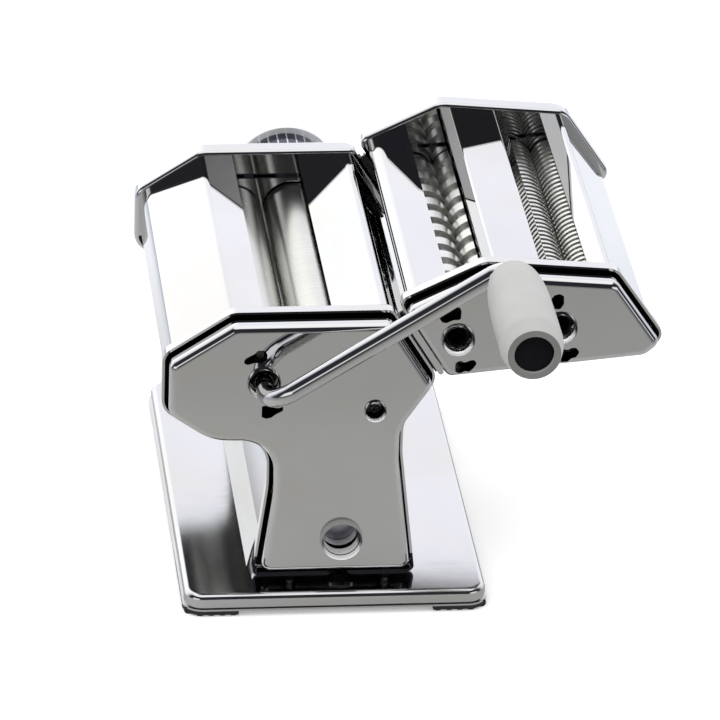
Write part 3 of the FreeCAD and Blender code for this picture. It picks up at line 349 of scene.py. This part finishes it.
# --------------------------------------------- smooth shading for CAD nodes
def shading_group():
    """Welds the split corners, marks edges above an angle as sharp."""
    g = bpy.data.node_groups.new("tidy_shading", "GeometryNodeTree")
    g.interface.new_socket("Geometry", in_out="INPUT", socket_type="NodeSocketGeometry")
    ang = g.interface.new_socket("Angle", in_out="INPUT", socket_type="NodeSocketFloat")
    ang.default_value = math.radians(28)
    g.interface.new_socket("Geometry", in_out="OUTPUT", socket_type="NodeSocketGeometry")
    n = g.nodes
    gi, go = n.new("NodeGroupInput"), n.new("NodeGroupOutput")
    merge = n.new("GeometryNodeMergeByDistance")
    merge.inputs["Distance"].default_value = 2e-6
    drop = n.new("GeometryNodeRemoveAttribute")
    drop.inputs["Name"].default_value = "custom_normal"
    face = n.new("GeometryNodeSetShadeSmooth")
    face.domain = "FACE"
    edge = n.new("GeometryNodeSetShadeSmooth")
    edge.domain = "EDGE"
    ea = n.new("GeometryNodeInputMeshEdgeAngle")
    cmp = n.new("FunctionNodeCompare")
    cmp.data_type = "FLOAT"
    cmp.operation = "LESS_EQUAL"
    L = g.links.new
    L(gi.outputs["Geometry"], drop.inputs["Geometry"])
    L(drop.outputs["Geometry"], merge.inputs["Geometry"])
    L(merge.outputs["Geometry"], face.inputs["Geometry"])
    L(face.outputs["Geometry"], edge.inputs["Geometry"])
    L(ea.outputs["Unsigned Angle"], cmp.inputs[0])
    L(gi.outputs["Angle"], cmp.inputs[1])
    L(cmp.outputs["Result"], edge.inputs["Shade Smooth"])
    L(edge.outputs["Geometry"], go.inputs["Geometry"])
    return g


TIDY = shading_group()


def tidy(obj, angle=28):
    mod = obj.modifiers.new("tidy_shading", "NODES")
    mod.node_group = TIDY
    for item in TIDY.interface.items_tree:
        if item.item_type == "SOCKET" and item.in_out == "INPUT" and item.name == "Angle":
            mod[item.identifier] = math.radians(angle)
    w = obj.modifiers.new("weighted", "WEIGHTED_NORMAL")
    w.mode = "FACE_AREA"
    w.weight = 100
    w.keep_sharp = True


slots = {s["node"]: s["material_slot"] for s in frame["record"]["subparts"]}
for name, obj in NODES.items():
    obj.data.materials.clear()
    obj.data.materials.append(MAT[slots[name]])
    tidy(obj)



def paint(names, slot, test):
    """Give the faces that pass the test another material (layout mm, normal)."""
    for name in names:
        obj = NODES[name]
        obj.data.materials.append(MAT[slot])
        k = len(obj.data.materials) - 1
        for poly in obj.data.polygons:
            c = obj.matrix_world @ poly.center
            q = (c.x * 1000 + ORG[0], c.y * 1000 + ORG[1], c.z * 1000 + ORG[2])
            if test(q, obj.matrix_world.to_3x3() @ poly.normal):
                poly.material_index = k


def bore(x, z, r, y_max):
    """Faces round an axis along Y that look towards it."""
    return lambda q, nrm: (q[1] < y_max and math.hypot(q[0] - x, q[2] - z) < r
                           and nrm.x * (q[0] - x) + nrm.z * (q[2] - z) < 0.02 * r and nrm.y > -0.97)


paint(["base_tray"], "tray_chrome", lambda q, nrm: True)
# painted shade: the rails are near-black so the gap between body and cutter frames reads black
paint(["body_rails"], "rail_dark", lambda q, nrm: True)
# painted shade: the outer face of the chrome bush lip is a dull grey non-metal tone
paint(["rod_bushes"], "lip_outer_painted_shade", lambda q, nrm: q[1] < -15.3)
# painted light: the bush lips and cap rims get the up-pale, down-dark lip material
paint(["rod_bushes"], "lip_painted_light", bore(33.95, 30.65, 9.5, 40))
# painted shade: a thin near-black ring between the bush lips
paint(["rod_bushes"], "painted_shade_inside", lambda q, nrm: -15.85 < q[1] < -15.3 and math.hypot(q[0] - 33.95, q[2] - 30.65) < 8.0)
paint(["rod_end_caps"], "lip_painted_light", lambda q, nrm: q[1] < 40 and math.hypot(q[0] - 33.95, q[2] - 30.65) > 7.1)
paint(["rod_end_caps"], "satin_disc", lambda q, nrm: abs(nrm.y) > 0.6 and math.hypot(q[0] - 33.95, q[2] - 30.65) < 7.2)
# painted light on the socket collars' lips: up-facing faces pale, down-facing dark
paint(["front_cover"], "lip_painted_light", bore(0, 104, 7.3, -15.0))
# painted shade: near-black inside the cover screw's bore
paint(["front_cover"], "painted_shade_inside", bore(46.3, 90.1, 4.4, -9.0))
paint(["front_cover"], "lip_painted_light", bore(46.3, 90.1, 4.9, -15.0))
paint(["cutter_front_cover"], "lip_painted_light", bore(79.4, 122.1, 7.3, -15.0))
paint(["cutter_front_cover"], "lip_painted_light", bore(121.6, 126.6, 7.3, -15.0))
paint(["knob_cap"], "knob_ring", lambda q, nrm: nrm.y < -0.3 and q[1] < 187)
eye_lo, eye_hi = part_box("clamp_eyelet")
EYE = ((eye_lo[0] + eye_hi[0]) * 500 + ORG[0], (eye_lo[1] + eye_hi[1]) * 500 + ORG[1])
# painted shade: near-black inside the clamp hole, on the eyelet and the tray round it
paint(["clamp_eyelet", "base_tray"], "painted_shade_inside", lambda q, nrm: (
    math.hypot(q[0] - EYE[0], q[1] - EYE[1]) < 9 and nrm.x * (q[0] - EYE[0]) + nrm.y * (q[1] - EYE[1]) < -0.01))
# painted shade: the nut faces low down under the covers are near-black
paint(["frame_nuts"], "painted_shade_inside", lambda q, nrm: q[2] < 20)
# painted shade: the grip's end face, which looks to the front, gets the darker copy of the grip plastic
paint(["crank_grip"], "grip_end_painted_shade", lambda q, nrm: nrm.y < -0.9 and q[1] < -116.8)
# painted shade: the inside faces of the closed housings, covers and bores are near-black
paint(["front_frame"], "painted_shade_inside", lambda q, nrm: nrm.y < -0.9 and -1.3 < q[1] < -0.7 and q[2] > 15.5)
paint(["cutter_front_frame"], "painted_shade_inside", lambda q, nrm: nrm.y < -0.9 and -1.3 < q[1] < -0.7)
paint(["rear_frame", "cutter_rear_frame"], "painted_shade_inside", lambda q, nrm: nrm.y > 0.9 and 150.7 < q[1] < 151.3)
paint(["front_cover", "cutter_front_cover"], "painted_shade_inside", lambda q, nrm: nrm.y > 0.3 and q[1] > -14.9)
paint(["rear_cover", "cutter_rear_cover"], "painted_shade_inside", lambda q, nrm: nrm.y < -0.3 and q[1] < 164.9)
paint(["crank_roller"], "painted_shade_inside", lambda q, nrm: q[1] < 7.5 and math.hypot(q[0], q[2] - 104) < 7.2)
paint(["wide_cutter_a"], "painted_shade_inside", lambda q, nrm: q[1] < 1.0 and math.hypot(q[0] - 79.4, q[2] - 122.1) < 5.2)
paint(["fine_cutter_a"], "painted_shade_inside", lambda q, nrm: q[1] < 1.0 and math.hypot(q[0] - 121.6, q[2] - 126.6) < 5.2)

# --------------------------------------------------------------- studio
scene = bpy.context.scene
scene.view_settings.view_transform = "Standard"
scene.view_settings.look = "None"
scene.view_settings.exposure = 0.0

floor_mesh = bpy.data.meshes.new("floor")
bm = bmesh.new()
bmesh.ops.create_grid(bm, x_segments=4, y_segments=4, size=9.0)
bm.to_mesh(floor_mesh)
bm.free()
floor = bpy.data.objects.new("floor", floor_mesh)
floor.location = (0, 0, -0.0002)
scene.collection.objects.link(floor)
# Floor: plain pale to the camera, with a slight glow there that lightens its shadows; in reflections it carries painted
# shade, a gradient dark in front of the machine and pale behind, bluish grey to the sides
m, n, b = material("floor")
set_in(b, Roughness=0.9, Specular_IOR_Level=0.1)
lp = n.add("ShaderNodeLightPath")
geo = n.add("ShaderNodeNewGeometry")
sep = n.add("ShaderNodeSeparateXYZ")
n.link(geo.outputs["Position"], sep.inputs[0])
grad = n.ramp(n.remap(sep.outputs["Y"], -0.75, 0.45, 0, 1), [
    (0.0, (0.16, 0.16, 0.155)), (0.42, (0.36, 0.36, 0.345)), (0.56, (0.52, 0.515, 0.50)), (0.75, (0.62, 0.63, 0.65)),
    (1.0, (0.86, 0.87, 0.90))])
sides = n.add("ShaderNodeMix", data_type="RGBA", blend_type="MULTIPLY")
n.link(n.remap(n.math("ABSOLUTE", sep.outputs["X"]), 0.16, 0.45, 0, 1), sides.inputs[0])
n.link(grad, sides.inputs[6])
sides.inputs[7].default_value = (0.68, 0.71, 0.77, 1.0)
n.link(n.mix(lp.outputs["Is Glossy Ray"], (0.90, 0.90, 0.90), sides.outputs[2]), b.inputs["Base Color"])
set_in(b, Emission_Color=(1.0, 1.0, 1.0, 1.0))
n.link(n.math("MULTIPLY", lp.outputs["Is Camera Ray"], 0.30), b.inputs["Emission Strength"])
floor_mesh.materials.append(m)

world = bpy.data.worlds.new("studio")
scene.world = world
world.use_nodes = True
world.node_tree.nodes.clear()
n = Nodes(world.node_tree)
out = n.add("ShaderNodeOutputWorld")
bg = n.add("ShaderNodeBackground")
n.link(bg.outputs[0], out.inputs["Surface"])
tc = n.add("ShaderNodeTexCoord")
sep = n.add("ShaderNodeSeparateXYZ")
n.link(tc.outputs["Generated"], sep.inputs[0])
# y: towards the back; z: up.  Pale backdrop behind, white overhead, dark room
# in front below it, two soft boxes low at the front left and right.
back = n.ramp(n.remap(sep.outputs["Y"], -1, 1, 0, 1), [
    (0.0, (0.035, 0.035, 0.04)), (0.42, (0.03, 0.03, 0.035)), (0.50, (0.12, 0.13, 0.16)), (0.60, (0.85, 0.87, 0.93)),
    (0.72, (1.25, 1.25, 1.28)), (1.0, (1.5, 1.5, 1.5))])
tint = n.mix(n.remap(sep.outputs["X"], -0.16, 0.06, 0, 1), (1.10, 1.10, 1.10), (0.93, 0.93, 0.985))
toned = n.add("ShaderNodeMix", data_type="RGBA", blend_type="MULTIPLY")
toned.inputs[0].default_value = 1.0
n.link(back, toned.inputs[6])
n.link(tint, toned.inputs[7])
over = n.remap(sep.outputs["Z"], 0.80, 0.88, 0, 1)
front = n.mix(over, toned.outputs[2], (1.45, 1.45, 1.48))
side = n.remap(n.math("ABSOLUTE", sep.outputs["X"]), 0.30, 0.40, 0, 1)
low = n.math("MULTIPLY", n.remap(sep.outputs["Z"], -0.02, 0.04, 0, 1), n.remap(sep.outputs["Z"], 0.30, 0.42, 1, 0))
box = n.math("MULTIPLY", n.math("MULTIPLY", side, low), n.remap(sep.outputs["Y"], -0.40, -0.52, 0, 1))
front = n.mix(box, front, (1.25, 1.25, 1.27))
lp = n.add("ShaderNodeLightPath")
amb = n.mix(lp.outputs["Is Glossy Ray"], (0.98, 0.98, 0.99), front)
n.link(n.mix(lp.outputs["Is Camera Ray"], amb, (0.94, 0.94, 0.945)), bg.inputs["Color"])


def area(name, loc, target, size, power, glossy=False, color=(1, 1, 1)):
    d = bpy.data.lights.new(name, "AREA")
    d.shape = "RECTANGLE"
    d.size, d.size_y = size
    d.energy = power
    d.color = color
    o = bpy.data.objects.new(name, d)
    scene.collection.objects.link(o)
    o.location = loc
    o.rotation_euler = (Vector(target) - Vector(loc)).to_track_quat("-Z", "Y").to_euler()
    o.visible_glossy = glossy
    o.visible_camera = False
    return o


area("key", (-0.9, -0.7, 1.5), (0, 0, 0.05), (1.2, 1.2), 9)
area("fill", (1.1, -1.2, 0.9), (0, 0, 0.05), (1.2, 1.2), 5)
area("back", (0.2, 1.4, 1.2), (0, 0, 0.05), (2.0, 1.0), 12)
